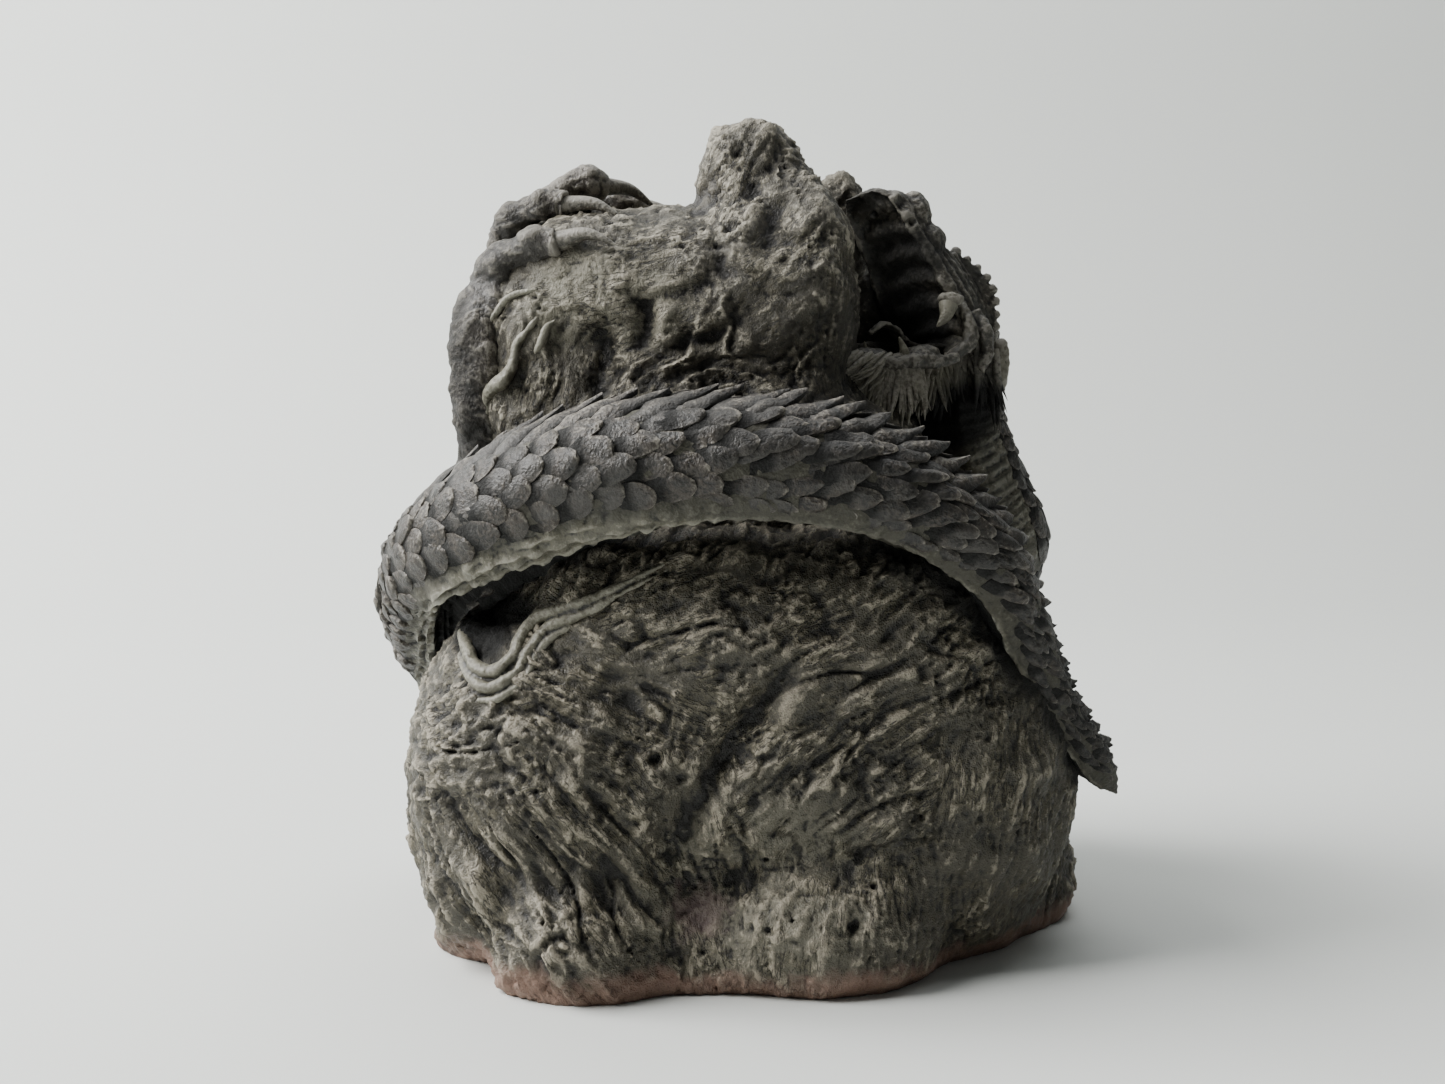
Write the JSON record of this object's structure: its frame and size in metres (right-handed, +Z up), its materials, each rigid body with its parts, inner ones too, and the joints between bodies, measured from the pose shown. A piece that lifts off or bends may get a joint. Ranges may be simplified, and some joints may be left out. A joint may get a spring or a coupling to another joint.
{
  "type": "ceramic dragon figurine",
  "caption": "Dark unglazed stoneware figurine of a scaled dragon coiled round a craggy rock, with an open-jawed head at one side; stands on its flat foot.",
  "frame": {"origin": "on the underside, below the middle of the rock", "axes": "+Z up; -Y towards the side where the tail arches over the rock; +X towards the dragon's head and the tip of its tail"},
  "size_m": [0.2564, 0.2261, 0.2789],
  "materials": {
    "dark_stoneware": "unglazed, matt, smoke-darkened with pale dust on the raised clay"
  },
  "bodies": {
    "root": {"dragon_on_rock": "dark_stoneware"}
  },
  "joints": []
}
